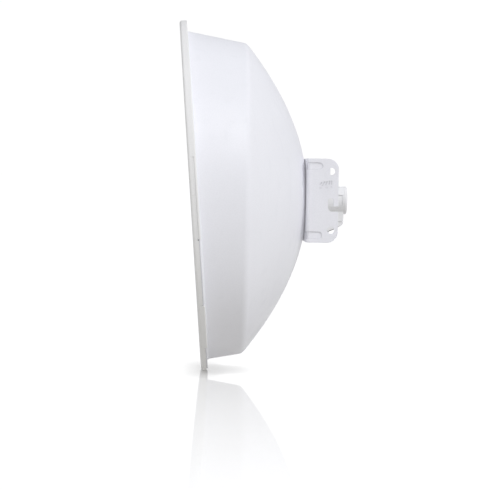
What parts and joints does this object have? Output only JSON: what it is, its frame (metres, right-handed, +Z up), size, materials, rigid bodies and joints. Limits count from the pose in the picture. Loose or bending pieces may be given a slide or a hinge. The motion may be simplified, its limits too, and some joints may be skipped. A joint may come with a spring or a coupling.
{
  "type": "outdoor wireless bridge",
  "caption": "Outdoor wireless bridge: parabolic dish with isolator shroud and flat clip-fitted radome, in-feed radio, and a flanged rear bracket for a pole clamp.",
  "frame": {"origin": "on the axis of the two pivot bolts, halfway between the bracket's two flanges", "axes": "+X across the flanges along the pivot bolt, -Y along the dish's boresight so the radome faces -Y, +Z up"},
  "size_m": [0.459, 0.2234, 0.458],
  "materials": {
    "shell_paint": "satin white powder coat",
    "radome_plastic": "satin white moulded plastic",
    "seal_foam": "closed-cell foam",
    "bracket_paint": "satin white powder coat on sheet steel",
    "fastener_steel": "zinc-plated steel",
    "housing_plastic": "satin white moulded plastic",
    "seal_rubber": "matt black rubber",
    "latch_plastic": "light grey moulded plastic",
    "spring_steel": "drawn spring wire",
    "feed_plastic": "white moulded plastic",
    "nylon": "natural nylon",
    "bare_aluminium": "machined",
    "circuit_board": "solder mask",
    "gold_plate": "gold flash on copper",
    "chip_black": "moulded epoxy",
    "thermal_silicone": "soft silicone",
    "tin_plate": "tin-plated steel",
    "jack_plastic": "black nylon"
  },
  "bodies": {
    "antenna": {"reflector_shroud": "shell_paint", "radome_cover": "radome_plastic", "radome_gasket": "seal_foam", "dish_bracket": "bracket_paint", "bracket_bolts": "fastener_steel", "bracket_washers": "fastener_steel", "bracket_nuts": "fastener_steel", "rear_housing": "housing_plastic", "rear_cap": "housing_plastic", "housing_gasket": "seal_rubber", "housing_screws": "fastener_steel", "cap_seal": "seal_rubber", "release_springs": "spring_steel", "feed_tube": "feed_plastic", "hub_seal": "seal_rubber", "feed_head": "feed_plastic", "feed_spacers": "nylon", "sub_reflector": "bare_aluminium", "radiator_board": "circuit_board", "dipole_arms": "gold_plate", "rf_pins": "gold_plate", "main_board": "circuit_board", "radio_chips": "chip_black", "thermal_pad": "thermal_silicone", "heat_spreader": "bare_aluminium", "shield_can": "tin_plate", "lan_transformer": "chip_black", "capacitors": "chip_black", "ethernet_jack": "jack_plastic", "jack_contacts": "gold_plate", "reset_switch": "jack_plastic"},
    "latch": {"release_latch": "latch_plastic"},
    "cover": {"port_cover": "housing_plastic", "port_grommet": "seal_rubber"},
    "reset": {"reset_button": "latch_plastic"}
  },
  "joints": [
    {"name": "release_press", "type": "slide", "parent": "antenna", "child": "latch", "axis": [0, 0, -1], "range_m": [0, 0.0018], "stiffness_N_per_m": 1500, "springref_m": -0.002, "deforming": ["release_springs"]},
    {"name": "port_cover_slide", "type": "slide", "parent": "antenna", "child": "cover", "axis": [0, 0, -1], "range_m": [0, 0.025]},
    {"name": "reset_press", "type": "slide", "parent": "antenna", "child": "reset", "axis": [0, 0, 1], "range_m": [0, 0.0006], "stiffness_N_per_m": 2000, "springref_m": -0.0003}
  ]
}
